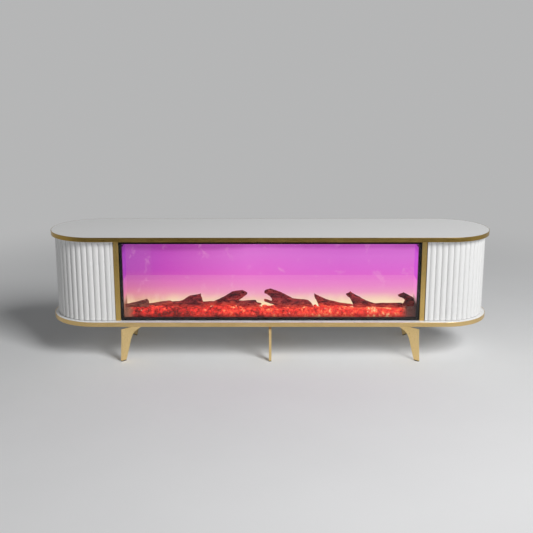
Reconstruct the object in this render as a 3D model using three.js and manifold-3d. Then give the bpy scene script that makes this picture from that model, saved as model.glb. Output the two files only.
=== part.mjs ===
// Electric fireplace in a low stadium-shaped cabinet: two boards with metal edge bands, a wide
// glass-fronted flame-effect insert between two posts, and fluted doors round both ends.
// Millimetres, +Z up, the front faces -Y, the origin is on the floor below the middle.

import * as THREE from 'three';
import { mergeVertices } from 'three/addons/utils/BufferGeometryUtils.js';
import Module from 'manifold-3d';

const wasm = await Module();
wasm.setup();

// ---------------------------------------------------------------- driving dimensions

const LENGTH = 1800;
const DEPTH = 390;
const HEIGHT = 520;
const BOARD = 18; // thickness of the two stadium boards and of the partitions
const CLEARANCE = 154; // floor to the underside of the base board
const BAND = 1.5; // thickness of the metal edge band
const GAP = 0.3; // air between pieces that touch
const RUNNING = 0.4; // air round pieces that turn or slide in a bore

const END_RADIUS = DEPTH / 2;
const END_X = LENGTH / 2 - END_RADIUS; // centre of each rounded board end
const BASE_TOP = CLEARANCE + BOARD;
const TOP_UNDER = HEIGHT - BOARD;

const POST_INNER = 602; // from the middle plane to the near face of each post
const POST_WIDTH = 20;
const POST_OUTER = POST_INNER + POST_WIDTH;
const POST_MID = POST_INNER + POST_WIDTH / 2;
const POST_FRONT = -170;
const POST_TRIM_DEPTH = 12;
const BACK_Y = 158; // rear edge of the partitions

const REED_RADIUS = 174; // crest of the flutes round each end
const REED_X = 711; // centre of that curve
const REED_DEPTH = 6.5;
const REED_PITCH = 24;
const WALL = 16; // thickness of a fluted wall, crest to inside
const STILE = 11; // flat strip beside each post
const HINGE_STILE = 9; // and at the hinge
const INNER_RADIUS = REED_RADIUS - WALL;
const DOOR_GAP = 1.8; // round the doors
const PIVOT_RADIUS = 4;
const PIVOT_X = REED_X + REED_RADIUS - WALL / 2;
const PIVOT_DEPTH = 12; // how far each pivot rod enters the boards
const SHELF_Z = 330;
const SHELF = 15;

const LATCH_Z = 487; // centre height of the touch latches
const LATCH_X = POST_OUTER + 11;
const LATCH = { half: 9, front: -152, back: -104, boreEnd: -108, plungerEnd: -124 };
const PLUNGER_RADIUS = 4;
const PLUNGER_TIP = -INNER_RADIUS + 0.5;

const LEG_X = 608; // outer edge of the corner legs at the floor
const LEG_SPLAY = 7; // how far that edge leans in from the floor to the leg's top
const LEG_Y = 176; // front face of the legs
const SHEET = 4; // leg sheet
const GLIDE = 3; // height of the foot glides
const LEG_FOOT = GLIDE + GAP;
const LEG_CORNER = 137; // height of the leg's outer corner
const LEG_TOP = CLEARANCE - GAP;
const FACET_FOOT = 7; // width of the folded front facet at the floor
const FACET_TOP = 2.5;
const FOLD_LAP = 1.6; // how far the wing runs under the front facet at the fold
const WING_ANGLE = Math.PI / 4;
const CENTRE_WING_ANGLE = THREE.MathUtils.degToRad(84);
const CENTRE_WEB = 4.4;
const CENTRE_SHEET = 3; // thinner wings on the centre legs

const GLASS_FRONT = -168;
const GLASS = 4;
const GLASS_X = 600.5;
const GLASS_TOP = 488;
const WINDOW_X = 590; // half width of the black frame's window
const WINDOW_LOW = 183;
const WINDOW_HIGH = 487.4;
const BEZEL_BACK = -150;
const CASE_X = 596;
const CASE_BACK = 130;
const CASE_LOW = 176;
const CASE_HIGH = 500;
const STEEL = 1.2; // sheet of the insert's case
const SCREEN_Y = -60;
const CASE_FLOOR = CASE_LOW + STEEL + GAP; // what stands on the case's floor starts here
const BED = { front: -146, crestFront: -130, crestBack: -104, back: -66 };
const BED_Z = { front: 190, crest: 212, back: 203 };

const DUCT_X = 170; // half length of the blower's duct
const DUCT_FLOOR = 470; // height of the duct's floor behind the flame screen
const WHEEL = { y: 55, z: 470, radius: 22, halfLength: 160 };
const SCROLL_RADIUS = 27;
const SPINDLE = { y: -10, z: 215, radius: 3, halfLength: 560 };
const SPINDLE_MOTOR_X = 546;
const SPINDLE_BEARING_X = 552;
const INLET = { x: 300, z: 307, halfWidth: 30, halfHeight: 38 };
const ROCKER = { y: 124, z: 290, restTilt: THREE.MathUtils.degToRad(8) };
const SERVICE = { x0: 200, x1: 400, z0: 240, z1: 380 }; // opening in the back panel
const BACK_PANEL = 8; // its thickness
const THROUGH = 10; // how far a cutting solid runs past each face

// ---------------------------------------------------------------- materials

const material = (color, roughness, metalness, extra = {}) =>
  new THREE.MeshStandardMaterial({ color, roughness, metalness, ...extra });

const white = material(0xe9e9e6, 0.4, 0);
const gold = material(0xb08d4c, 0.3, 1);
const black = material(0x101012, 0.35, 0.1);
const steel = material(0x9a9c9e, 0.4, 1);
const darkSteel = material(0x2a2a2c, 0.6, 0.6);
const glass = material(0x20181c, 0.05, 0, { transparent: true, opacity: 0.3 });
const acrylic = material(0xe2b4d8, 0.5, 0);
const ember = material(0xd9402a, 0.7, 0, { emissive: 0x701808 });
const bark = material(0x5a2a26, 0.9, 0);
const plastic = material(0x1c1c1e, 0.55, 0);
const board = material(0x2f6b3c, 0.6, 0);

// ---------------------------------------------------------------- solids

// A geometry as a manifold solid.
function solid(geometry) {
  const bare = geometry.clone();
  bare.deleteAttribute('normal');
  bare.deleteAttribute('uv');
  const merged = mergeVertices(bare, 1e-4);
  const vertProperties = new Float32Array(merged.attributes.position.array);
  const triVerts = new Uint32Array(merged.index.array);
  return new wasm.Manifold(new wasm.Mesh({ numProp: 3, vertProperties, triVerts }));
}

// A manifold solid back as a geometry.
function geometryOf(manifold) {
  const mesh = manifold.getMesh();
  const geometry = new THREE.BufferGeometry();
  geometry.setAttribute('position', new THREE.BufferAttribute(mesh.vertProperties, 3));
  geometry.setIndex(new THREE.BufferAttribute(mesh.triVerts, 1));
  geometry.computeVertexNormals();
  return geometry;
}

const cut = (geometry, ...tools) =>
  geometryOf(tools.reduce((body, tool) => body.subtract(solid(tool)), solid(geometry)));

const join = (...geometries) =>
  geometryOf(geometries.map(solid).reduce((sum, part) => sum.add(part)));

// A box between two values on each axis.
function box(x0, x1, y0, y1, z0, z1) {
  const geometry = new THREE.BoxGeometry(x1 - x0, y1 - y0, z1 - z0);
  return geometry.translate((x0 + x1) / 2, (y0 + y1) / 2, (z0 + z1) / 2);
}

const extrude = (shape, depth) =>
  new THREE.ExtrudeGeometry(shape, { depth, bevelEnabled: false, curveSegments: 6 });

// A plan outline (x, y) raised from z0 to z1.
const extrudeZ = (shape, z0, z1) => extrude(shape, z1 - z0).translate(0, 0, z0);

// A side outline (y, z) drawn along X.
function extrudeX(shape, x0, x1) {
  const axes = new THREE.Matrix4().set(0, 0, 1, x0, 1, 0, 0, 0, 0, 1, 0, 0, 0, 0, 0, 1);
  return extrude(shape, x1 - x0).applyMatrix4(axes);
}

// A front outline (x, z) drawn along Y.
const extrudeY = (shape, y0, y1) =>
  extrude(shape, y1 - y0).rotateX(Math.PI / 2).translate(0, y1, 0);

const rodX = (radius, x0, x1, y, z, sides = 20) =>
  new THREE.CylinderGeometry(radius, radius, x1 - x0, sides)
    .rotateZ(Math.PI / 2).translate((x0 + x1) / 2, y, z);

const rodY = (radius, y0, y1, x, z, sides = 20) =>
  new THREE.CylinderGeometry(radius, radius, y1 - y0, sides).translate(x, (y0 + y1) / 2, z);

const rodZ = (radius, z0, z1, x, y, sides = 24) =>
  new THREE.CylinderGeometry(radius, radius, z1 - z0, sides)
    .rotateX(Math.PI / 2).translate(x, y, (z0 + z1) / 2);

const outline = (points) => new THREE.Shape(points.map(([x, y]) => new THREE.Vector2(x, y)));

// The mirror image across the middle plane of one axis.
function mirrored(geometry, axis = 'x') {
  const flat = geometry.index ? geometry.toNonIndexed() : geometry.clone();
  flat.scale(axis === 'x' ? -1 : 1, axis === 'y' ? -1 : 1, 1);
  const position = flat.attributes.position;
  const order = Array.from({ length: position.count }, (_, i) => i - (i % 3) + ((3 - (i % 3)) % 3));
  flat.setIndex(order);
  flat.computeVertexNormals();
  return flat;
}

const model = new THREE.Group();
model.name = 'electric_fireplace';

function add(name, geometry, look) {
  const mesh = new THREE.Mesh(geometry, look);
  mesh.name = name;
  model.add(mesh);
  return mesh;
}

// The same piece at the right (+X) and, mirrored, at the left.
function addPair(name, geometry, look) {
  add(`right_${name}`, geometry, look);
  add(`left_${name}`, mirrored(geometry), look);
}

// ---------------------------------------------------------------- the two boards

const END_STEPS = 40;

// Points of a stadium that stays the given distance inside the board's outer edge.
function stadium(inset) {
  const radius = END_RADIUS - inset;
  const points = [];
  for (const side of [1, -1]) {
    for (let i = 0; i <= END_STEPS; i += 1) {
      const angle = Math.PI * (i / END_STEPS - 0.5);
      points.push([side * (END_X + radius * Math.cos(angle)), side * radius * Math.sin(angle)]);
    }
  }
  return points;
}

function addBoard(name, z0, holeZ0) {
  const core = extrudeZ(outline(stadium(BAND + GAP)), z0, z0 + BOARD);
  const sockets = [1, -1].map((side) =>
    rodZ(PIVOT_RADIUS + GAP, holeZ0, holeZ0 + PIVOT_DEPTH + 1, side * PIVOT_X, 0));
  add(`${name}_board`, cut(core, ...sockets), white);
  const ring = outline(stadium(0));
  ring.holes.push(new THREE.Path(outline(stadium(BAND)).getPoints()));
  add(`${name}_edge_band`, extrudeZ(ring, z0, z0 + BOARD), gold);
}

addBoard('top', TOP_UNDER, TOP_UNDER - 0.5);
addBoard('base', CLEARANCE, BASE_TOP - PIVOT_DEPTH - 0.5);

// ---------------------------------------------------------------- partitions, posts and back

addPair('partition', box(
  POST_MID - BOARD / 2, POST_MID + BOARD / 2,
  POST_FRONT + POST_TRIM_DEPTH + GAP, BACK_Y,
  BASE_TOP + GAP, TOP_UNDER - GAP,
), white);

// The metal front edge of each partition, with its two front corners eased.
const EASE = 1.2;
addPair('post', extrudeZ(outline([
  [POST_INNER, POST_FRONT + POST_TRIM_DEPTH],
  [POST_INNER, POST_FRONT + EASE],
  [POST_INNER + EASE, POST_FRONT],
  [POST_OUTER - EASE, POST_FRONT],
  [POST_OUTER, POST_FRONT + EASE],
  [POST_OUTER, POST_FRONT + POST_TRIM_DEPTH],
]), BASE_TOP + GAP, TOP_UNDER - GAP), gold);

const SLOTS = { columns: 4, rows: 4, x: -165, z: 410, stepX: 90, stepZ: 16, length: 60, height: 7 };

// Horizontal air slots, as cutting boxes, through the walls between y0 and y1.
function airSlots(y0, y1) {
  const slots = [];
  for (let column = 0; column < SLOTS.columns; column += 1) {
    for (let row = 0; row < SLOTS.rows; row += 1) {
      const x = SLOTS.x + column * SLOTS.stepX;
      const z = SLOTS.z + row * SLOTS.stepZ;
      slots.push(box(x, x + SLOTS.length, y0, y1, z, z + SLOTS.height));
    }
  }
  return slots;
}

const panelFront = BACK_Y + GAP;
const panelBack = panelFront + BACK_PANEL;
const panelX = POST_OUTER - GAP;
add('back_panel', cut(
  box(-panelX, panelX, panelFront, panelBack, BASE_TOP + GAP, TOP_UNDER - GAP),
  box(SERVICE.x0, SERVICE.x1, panelFront - THROUGH, panelBack + THROUGH, SERVICE.z0, SERVICE.z1),
  ...airSlots(panelFront - THROUGH, panelBack + THROUGH),
), white);

// ---------------------------------------------------------------- fluted walls and doors

const REED_ROOT = REED_RADIUS - REED_DEPTH;

// A point of the fluted wall: "run" along it from the post, at the given distance from its axis.
function wallPoint(run, radius) {
  const straight = REED_X - POST_OUTER;
  if (run <= straight) return [POST_OUTER + run, -radius];
  const angle = (run - straight) / REED_ROOT - Math.PI / 2;
  return [REED_X + radius * Math.cos(angle), radius * Math.sin(angle)];
}

const REED_SHARES = [0.03, 0.12, 0.3, 0.5, 0.7, 0.88, 0.97]; // places of a reed's points in its pitch

// The outer line of flutes between two runs, one rounded reed for each pitch.
function reedLine(from, to) {
  const count = Math.round((to - from) / REED_PITCH);
  const pitch = (to - from) / count;
  const points = [];
  for (let reed = 0; reed < count; reed += 1) {
    for (const share of REED_SHARES) {
      const across = (share - 0.5) / (REED_SHARES.at(-1) - 0.5);
      const height = REED_DEPTH * Math.sqrt(1 - across * across);
      points.push(wallPoint(from + (reed + share) * pitch, REED_ROOT + height));
    }
  }
  return points;
}

const INNER_STEPS = 20;

// The inner line, from the hinge end back to the post.
function innerLine(from, to) {
  return Array.from({ length: INNER_STEPS + 1 }, (_, i) =>
    wallPoint(to + (from - to) * i / INNER_STEPS, INNER_RADIUS));
}

const QUARTER_RUN = REED_X - POST_OUTER + REED_ROOT * Math.PI / 2;
const HINGE_STEPS = 8;
const STILE_SET_BACK = 2; // the stile lies this far behind the flutes' crests

// The door's hinge edge is a half round about the pivot, so it turns in place.
function hingeEnd() {
  return Array.from({ length: HINGE_STEPS + 1 }, (_, i) => {
    const angle = Math.PI * i / HINGE_STEPS;
    return [PIVOT_X + WALL / 2 * Math.cos(angle), WALL / 2 * Math.sin(angle)];
  });
}

function doorGeometry() {
  const edge = DOOR_GAP;
  const plan = outline([
    wallPoint(edge, INNER_RADIUS),
    wallPoint(edge, REED_RADIUS - STILE_SET_BACK),
    wallPoint(edge + STILE, REED_RADIUS - STILE_SET_BACK),
    wallPoint(edge + STILE, REED_ROOT),
    ...reedLine(edge + STILE, QUARTER_RUN - HINGE_STILE),
    wallPoint(QUARTER_RUN - HINGE_STILE, REED_RADIUS),
    ...hingeEnd(),
    ...innerLine(edge, QUARTER_RUN).slice(1, -1),
  ]);
  const bore = new THREE.Path().absarc(PIVOT_X, 0, PIVOT_RADIUS + RUNNING, 0, Math.PI * 2);
  plan.holes.push(new THREE.Path(bore.getPoints(20).slice(0, -1)));
  return extrudeZ(plan, BASE_TOP + DOOR_GAP, TOP_UNDER - DOOR_GAP);
}

function rearWallGeometry() {
  const end = QUARTER_RUN - WALL / 2 - DOOR_GAP;
  const plan = outline([
    wallPoint(GAP, INNER_RADIUS),
    wallPoint(GAP, REED_ROOT),
    ...reedLine(GAP, end),
    wallPoint(end, REED_ROOT),
    ...innerLine(GAP, end).slice(0, -1),
  ]);
  return mirrored(extrudeZ(plan, BASE_TOP + GAP, TOP_UNDER - GAP), 'y');
}

addPair('door', doorGeometry(), white);
addPair('rear_fluted_wall', rearWallGeometry(), white);
addPair('pivot_rod', rodZ(
  PIVOT_RADIUS, BASE_TOP - PIVOT_DEPTH, TOP_UNDER + PIVOT_DEPTH, PIVOT_X, 0, 16,
), steel);

const SHELF_STEPS = 14;
const SHELF_FRONT_CLEARANCE = 8;
const SHELF_BACK_CLEARANCE = 1;
const INSIDE_X = POST_MID + BOARD / 2 + GAP; // just outside the partition

// A shelf that stands clear of the door in front and reaches the fluted wall behind.
function shelfGeometry() {
  const front = INNER_RADIUS - SHELF_FRONT_CLEARANCE;
  const back = INNER_RADIUS - SHELF_BACK_CLEARANCE;
  const points = [[INSIDE_X, -front]];
  for (let i = -SHELF_STEPS; i <= SHELF_STEPS; i += 1) {
    const angle = Math.PI / 2 * i / SHELF_STEPS;
    const radius = i <= 0 ? front : back;
    points.push([REED_X + radius * Math.cos(angle), radius * Math.sin(angle)]);
  }
  points.push([INSIDE_X, back]);
  return extrudeZ(outline(points), SHELF_Z, SHELF_Z + SHELF);
}

addPair('shelf', shelfGeometry(), white);

// A touch latch on each partition: a sprung plunger that meets the inside of the closed door.
addPair('latch_body', cut(
  box(
    INSIDE_X, LATCH_X + LATCH.half, LATCH.front, LATCH.back,
    LATCH_Z - LATCH.half, LATCH_Z + LATCH.half,
  ),
  rodY(PLUNGER_RADIUS + RUNNING, LATCH.front - THROUGH, LATCH.boreEnd, LATCH_X, LATCH_Z, 16),
), plastic);
addPair('latch_plunger', rodY(
  PLUNGER_RADIUS, PLUNGER_TIP, LATCH.plungerEnd, LATCH_X, LATCH_Z, 16,
), steel);

// ---------------------------------------------------------------- legs

const FOOT_WIDTH = 22;
const WING_REACH = 101;
const WING_STEP = 58; // the wing's top stays below the board for this far from the fold
const LEG_PLATE = 4; // thickness of the screw plate below the board
const SCREW_PLATE_Y = 24; // the plates start this far behind the legs' front face
const PLATE_SIDE = 70;

// One bent wing of a leg: wide below the board, sweeping in to a narrow foot. It starts on the
// fold line, which leans by "lean" from the foot to the leg's corner, and runs off at "angle".
function wing(x, y, angle, lean, sheet) {
  const shape = new THREE.Shape();
  shape.moveTo(0, LEG_FOOT);
  shape.lineTo(FOOT_WIDTH, LEG_FOOT);
  shape.splineThru([
    new THREE.Vector2(28, 22),
    new THREE.Vector2(36, 48),
    new THREE.Vector2(43, 73),
    new THREE.Vector2(50, 93),
    new THREE.Vector2(59, 107),
    new THREE.Vector2(72, 116),
    new THREE.Vector2(95, 124),
  ]);
  shape.lineTo(WING_REACH, 132);
  shape.lineTo(WING_REACH, LEG_TOP - 2);
  shape.lineTo(WING_STEP + 10, LEG_TOP - 2);
  shape.lineTo(WING_STEP, LEG_CORNER);
  shape.lineTo(0, LEG_CORNER);
  const settings = { depth: sheet, bevelEnabled: false, curveSegments: 2 };
  const blade = new THREE.ExtrudeGeometry(shape, settings)
    .rotateX(Math.PI / 2)
    .translate(0, sheet, 0)
    .rotateZ(angle);
  const shear = new THREE.Matrix4().makeShear(0, 0, 0, 0, 0, 0);
  shear.elements[8] = lean / (LEG_CORNER - LEG_FOOT);
  return blade.applyMatrix4(shear).translate(x - lean * LEG_FOOT / (LEG_CORNER - LEG_FOOT), y, 0);
}

function cornerLeg() {
  const topX = -LEG_X + LEG_SPLAY;
  const lean = LEG_SPLAY + FACET_TOP - FACET_FOOT;
  const facet = extrudeY(outline([
    [-LEG_X, LEG_FOOT],
    [-LEG_X + FACET_FOOT, LEG_FOOT],
    [topX + FACET_TOP, LEG_CORNER],
    [topX, LEG_CORNER],
  ]), -LEG_Y, -LEG_Y + SHEET);
  const blade = wing(-LEG_X + FACET_FOOT - FOLD_LAP, -LEG_Y, WING_ANGLE, lean, SHEET);
  const plateX = -LEG_X + SCREW_PLATE_Y + 2;
  const plateY = -LEG_Y + SCREW_PLATE_Y;
  const plate = box(
    plateX, plateX + PLATE_SIDE, plateY, plateY + PLATE_SIDE, LEG_TOP - LEG_PLATE, LEG_TOP,
  );
  return join(facet, blade, plate);
}

function centreLeg() {
  const half = CENTRE_WEB / 2;
  const web = box(-half, half, -LEG_Y, -LEG_Y + SHEET, LEG_FOOT, LEG_CORNER);
  const blade = mirrored(wing(-half, -LEG_Y, CENTRE_WING_ANGLE, 0, CENTRE_SHEET));
  const plateY = -LEG_Y + SCREW_PLATE_Y + 2;
  const plate = box(
    -PLATE_SIDE / 2, PLATE_SIDE / 2, plateY, plateY + PLATE_SIDE + 10, LEG_TOP - LEG_PLATE, LEG_TOP,
  );
  return join(web, blade, mirrored(blade), plate);
}

// A plastic strip under each foot, which follows the fold of a corner leg.
function cornerGlide() {
  const reach = 14; // along each axis, under the 45 degree wing
  const strip = 3;
  const shape = outline([
    [0, 0],
    [FACET_FOOT, 0],
    [FACET_FOOT + reach, reach],
    [FACET_FOOT + reach - strip, reach + strip],
    [FACET_FOOT - 2, SHEET],
    [0, SHEET],
  ]);
  return extrudeZ(shape, 0, GLIDE).translate(-LEG_X, -LEG_Y, 0);
}

const centreGlide = () => box(-5, 5, -LEG_Y, -LEG_Y + FOOT_WIDTH, 0, GLIDE);

function addLegSet(name, leg, glide) {
  add(`${name}_leg`, leg, gold);
  add(`${name}_glide`, glide, plastic);
}

const rear = (geometry) => mirrored(geometry, 'y');
addLegSet('front_left', cornerLeg(), cornerGlide());
addLegSet('front_right', mirrored(cornerLeg()), mirrored(cornerGlide()));
addLegSet('rear_left', rear(cornerLeg()), rear(cornerGlide()));
addLegSet('rear_right', rear(mirrored(cornerLeg())), rear(mirrored(cornerGlide())));
addLegSet('front_centre', centreLeg(), centreGlide());
addLegSet('rear_centre', rear(centreLeg()), rear(centreGlide()));

// ---------------------------------------------------------------- the insert's front

add('front_glass', box(
  -GLASS_X, GLASS_X, GLASS_FRONT, GLASS_FRONT + GLASS, BASE_TOP + GAP, GLASS_TOP,
), glass);

const GRILLE = { slots: 20, end: 10, bar: 6, low: 492, high: 498 };
const grillePitch = 2 * (GLASS_X - GRILLE.end) / GRILLE.slots;
const grilleSlots = Array.from({ length: GRILLE.slots }, (_, i) => {
  const x = -GLASS_X + GRILLE.end + GRILLE.bar / 2 + i * grillePitch;
  return box(
    x, x + grillePitch - GRILLE.bar, GLASS_FRONT - THROUGH, BEZEL_BACK, GRILLE.low, GRILLE.high,
  );
});
add('heater_grille', cut(
  box(-GLASS_X, GLASS_X, GLASS_FRONT, GLASS_FRONT + GLASS, GLASS_TOP + GAP, TOP_UNDER - GAP),
  ...grilleSlots,
), black);

// The black frame behind the glass, with the blower's outlet through its top member.
const frameFront = GLASS_FRONT + GLASS + GAP;
const OUTLET = { halfLength: DUCT_X - 5, low: 490, high: 499 };
const frameHole = (x, z0, z1) =>
  box(-x, x, frameFront - THROUGH, BEZEL_BACK + THROUGH, z0, z1);
add('window_frame', cut(
  box(-GLASS_X, GLASS_X, frameFront, BEZEL_BACK, BASE_TOP + GAP, TOP_UNDER - GAP),
  frameHole(WINDOW_X, WINDOW_LOW, WINDOW_HIGH),
  frameHole(OUTLET.halfLength, OUTLET.low, OUTLET.high),
), black);

// ---------------------------------------------------------------- the insert's case and light box

const INLET_LIP = 4; // what the inlet's flange covers of the case round its hole

// A box about the inlet's middle, smaller all round than its flange by the given margin.
function aroundInlet(margin, y0, y1) {
  const halfX = INLET.halfWidth - margin;
  const halfZ = INLET.halfHeight - margin;
  return box(INLET.x - halfX, INLET.x + halfX, y0, y1, INLET.z - halfZ, INLET.z + halfZ);
}

function caseGeometry() {
  const shell = box(-CASE_X, CASE_X, BEZEL_BACK + GAP, CASE_BACK, CASE_LOW, CASE_HIGH);
  const room = box(
    -CASE_X + STEEL, CASE_X - STEEL, BEZEL_BACK - THROUGH, CASE_BACK - STEEL,
    CASE_LOW + STEEL, CASE_HIGH - STEEL,
  );
  const y0 = CASE_BACK - THROUGH;
  const y1 = CASE_BACK + THROUGH;
  const inletHole = aroundInlet(INLET_LIP, y0, y1);
  return cut(shell, room, inletHole, ...airSlots(y0, y1));
}

add('firebox_case', caseGeometry(), darkSteel);

const SCREEN = { halfLength: CASE_X - 4, half: 2, top: 466 };
add('flame_screen', box(
  -SCREEN.halfLength, SCREEN.halfLength, SCREEN_Y - SCREEN.half, SCREEN_Y + SCREEN.half,
  CASE_FLOOR, SCREEN.top,
), acrylic);

// The ember bed in section: a bank that falls away behind the logs.
const bedShape = (lift) => outline([
  [BED.front, CASE_FLOOR],
  [BED.back, CASE_FLOOR],
  [BED.back, BED_Z.back + lift],
  [BED.crestBack, BED_Z.crest + lift],
  [BED.crestFront, BED_Z.crest + lift],
  [BED.front, BED_Z.front + lift],
]);
add('ember_bed', extrudeX(bedShape(0), -CASE_X + 6, CASE_X - 6), ember);

// The logs, left to right: where each one starts from the front, and its front outline (x, z).
// Their heads point to the middle, they overlap in two rows, and the bed cuts their undersides.
const LOG_DEPTH = 26;
const FRONT_ROW = -128;
const BACK_ROW = -100;
const LOW = 190; // below the bed's surface
const LOGS = [
  {
    front: FRONT_ROW,
    points: [[-590, LOW], [-590, 225], [-544, 236], [-501, 248], [-495, 236], [-492, LOW]],
  },
  {
    front: BACK_ROW,
    points: [
      [-537, LOW], [-532, 219], [-498, 220], [-455, 226], [-412, 233], [-401, 229],
      [-353, 230], [-353, LOW],
    ],
  },
  {
    front: FRONT_ROW,
    points: [
      [-397, LOW], [-397, 237], [-369, 237], [-350, 246], [-326, 263], [-281, 273],
      [-279, 256], [-273, 237], [-267, 214], [-267, LOW],
    ],
  },
  {
    front: BACK_ROW,
    points: [
      [-301, LOW], [-296, 229], [-231, 230], [-190, 250], [-156, 271], [-137, 276],
      [-113, 279], [-92, 265], [-99, 255], [-123, 241], [-134, 229], [-136, LOW],
    ],
  },
  {
    front: FRONT_ROW,
    points: [
      [-138, LOW], [-135, 241], [-58, 243], [-54, 234], [-33, 230], [-40, 222], [-52, 216], [-54, LOW],
    ],
  },
  {
    front: FRONT_ROW,
    points: [
      [30, LOW], [21, 214], [14, 225], [0, 230], [-17, 237], [-24, 240], [-25, 247],
      [-19, 247], [0, 242], [17, 236], [9, 246], [0, 256], [-13, 269], [-24, 276],
      [-21, 283], [-13, 288], [1, 293], [46, 276], [91, 250], [154, 245], [169, 232],
      [178, 210], [179, LOW],
    ],
  },
  {
    front: BACK_ROW,
    points: [
      [203, LOW], [198, 215], [191, 226], [183, 246], [180, 263], [231, 239], [273, 228],
      [336, 218], [357, 214], [358, LOW],
    ],
  },
  {
    front: FRONT_ROW,
    points: [
      [352, LOW], [340, 214], [333, 235], [325, 252], [309, 266], [326, 281], [341, 272],
      [374, 250], [402, 238], [429, 230], [539, 230], [543, LOW],
    ],
  },
  {
    front: BACK_ROW,
    points: [
      [526, LOW], [525, 215], [546, 218], [553, 226], [550, 237], [540, 246], [523, 255],
      [534, 262], [548, 268], [570, 257], [590, 242], [590, LOW],
    ],
  },
];
const bedCutter = extrudeX(bedShape(GAP), -CASE_X, CASE_X);
LOGS.forEach(({ front, points }, i) => {
  const block = extrudeY(outline(points), front, front + LOG_DEPTH);
  add(`log_${i + 1}`, cut(block, bedCutter), bark);
});

// A row of lamps behind the ember bed's back edge lights the spindle and the screen.
const LAMPS = { count: 12, pitch: 92, half: 3, height: 3 };
const STRIP = { halfLength: 560, y: -45, half: 8, thickness: 1.6 };
const lamps = Array.from({ length: LAMPS.count }, (_, i) => {
  const x = (i - (LAMPS.count - 1) / 2) * LAMPS.pitch;
  return box(
    x - LAMPS.half, x + LAMPS.half, STRIP.y - LAMPS.half, STRIP.y + LAMPS.half,
    CASE_FLOOR + 1, CASE_FLOOR + LAMPS.height,
  );
});
const strip = box(
  -STRIP.halfLength, STRIP.halfLength, STRIP.y - STRIP.half, STRIP.y + STRIP.half,
  CASE_FLOOR, CASE_FLOOR + STRIP.thickness,
);
add('lamp_strip', join(strip, ...lamps), board);

// The turning spindle with small bright paddles that throw the flame pattern on the screen.
const PADDLES = { count: 12, first: -530, pitch: 93, length: 37, half: 14, halfSheet: 0.6 };
const PADDLE_TURN = THREE.MathUtils.degToRad(50); // from each paddle to the next
const paddles = Array.from({ length: PADDLES.count }, (_, i) => {
  const x = PADDLES.first + i * PADDLES.pitch;
  const { half, halfSheet } = PADDLES;
  return box(x, x + PADDLES.length, -halfSheet, halfSheet, -half, half)
    .rotateX(i * PADDLE_TURN)
    .translate(0, SPINDLE.y, SPINDLE.z);
});
add('flame_spindle', join(
  rodX(SPINDLE.radius, -SPINDLE.halfLength, SPINDLE.halfLength, SPINDLE.y, SPINDLE.z, 12),
  ...paddles,
), steel);

// Its bearing block at the left and its motor at the right, both standing on the case floor.
function standingBlock(x0, x1, half) {
  return cut(
    box(x0, x1, SPINDLE.y - half, SPINDLE.y + half, CASE_FLOOR, SPINDLE.z + half),
    rodX(SPINDLE.radius + GAP, x0 - THROUGH, x0 + (x1 - x0) * 0.75, SPINDLE.y, SPINDLE.z, 12),
  );
}
add('spindle_bearing', mirrored(standingBlock(
  SPINDLE_BEARING_X, SPINDLE_BEARING_X + 14, 9,
)), plastic);
add('spindle_motor', standingBlock(SPINDLE_MOTOR_X, SPINDLE_MOTOR_X + 38, 18), darkSteel);

// ---------------------------------------------------------------- blower and heater

// A bent sheet: the outline of a polyline (y, z) thickened to one side.
function bentSheet(points, thickness) {
  const offset = points.map(([y, z], i) => {
    const [y0, z0] = points[Math.max(i - 1, 0)];
    const [y1, z1] = points[Math.min(i + 1, points.length - 1)];
    const length = Math.hypot(y1 - y0, z1 - z0);
    return [y + thickness * (z1 - z0) / length, z - thickness * (y1 - y0) / length];
  });
  return outline([...points, ...offset.reverse()]);
}

// The duct runs from the outlet back over the flame screen and round under the blower wheel.
function ductGeometry() {
  const mouth = BEZEL_BACK + 2;
  const top = CASE_HIGH - STEEL - GAP;
  const scroll = [200, 225, 250, 275, 300, 325].map((degrees) => {
    const angle = THREE.MathUtils.degToRad(degrees);
    return [WHEEL.y + SCROLL_RADIUS * Math.cos(angle), WHEEL.z + SCROLL_RADIUS * Math.sin(angle)];
  });
  const floor = [
    [mouth, WINDOW_HIGH + 1.1],
    [SCREEN_Y - SCREEN.half, DUCT_FLOOR],
    [WHEEL.y - WHEEL.radius - 13, DUCT_FLOOR],
    ...scroll,
  ];
  const cheek = outline([...floor, [WHEEL.y + SCROLL_RADIUS, top], [mouth, top]]);
  const cheeks = [-DUCT_X, DUCT_X - STEEL].map((x) => extrudeX(cheek, x, x + STEEL));
  const shaftHole = rodX(6, -DUCT_X - THROUGH, DUCT_X + THROUGH, WHEEL.y, WHEEL.z, 12);
  return cut(join(extrudeX(bentSheet(floor, STEEL), -DUCT_X, DUCT_X), ...cheeks), shaftHole);
}

add('air_duct', ductGeometry(), steel);

const BLADES = { count: 10, depth: 6, halfSheet: 0.5 };
const DISC = 2;
const SHAFT = 2.5;

function wheelGeometry() {
  const { y, z, radius, halfLength } = WHEEL;
  const { count, depth, halfSheet } = BLADES;
  const discs = [-halfLength, 0, halfLength - DISC].map((x) => rodX(radius, x, x + DISC, y, z, 16));
  const blades = Array.from({ length: count }, (_, i) =>
    box(-halfLength, halfLength, radius - 1 - depth, radius - 1, -halfSheet, halfSheet)
      .rotateX(i * 2 * Math.PI / count)
      .translate(0, y, z));
  const shaft = rodX(SHAFT, -DUCT_X - 4, DUCT_X + 12, y, z, 12);
  return join(shaft, ...discs, ...blades);
}

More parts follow.
